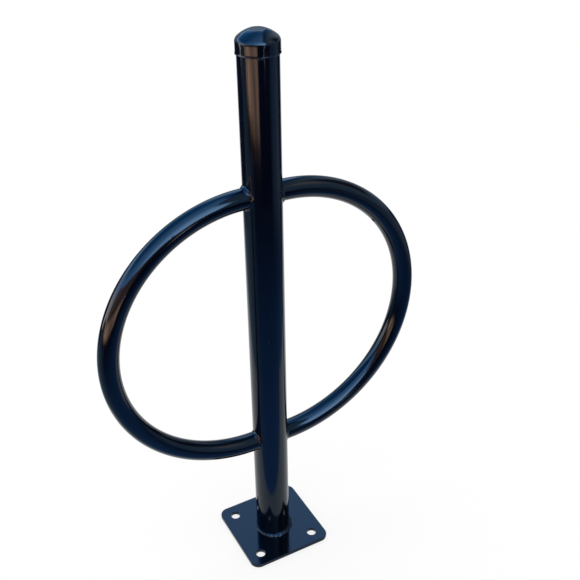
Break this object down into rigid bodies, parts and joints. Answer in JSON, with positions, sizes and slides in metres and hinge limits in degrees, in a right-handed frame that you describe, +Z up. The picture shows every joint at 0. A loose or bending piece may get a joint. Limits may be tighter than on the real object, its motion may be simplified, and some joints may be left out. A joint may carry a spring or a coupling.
{
  "type": "post and loop bike rack",
  "caption": "Round steel post on a square anchor plate, with a ring of thinner pipe welded to its sides for locking bicycles, and a pressed cap on top.",
  "frame": {"origin": "centre of the base plate's underside, where the post's axis meets the ground", "axes": "+Z up along the post, +X along the plane of the two half loops, +Y square to that plane"},
  "size_m": [0.5628, 0.155, 0.9334],
  "materials": {
    "gloss_coat": "gloss black powder coat with a slight navy cast over welded steel"
  },
  "bodies": {
    "root": {"base_plate": "gloss_coat", "post_tube": "gloss_coat", "foot_weld": "gloss_coat", "right_loop": "gloss_coat", "left_loop": "gloss_coat", "right_upper_weld": "gloss_coat", "right_lower_weld": "gloss_coat", "left_upper_weld": "gloss_coat", "left_lower_weld": "gloss_coat", "post_cap": "gloss_coat", "cap_tack_welds": "gloss_coat"}
  },
  "joints": []
}
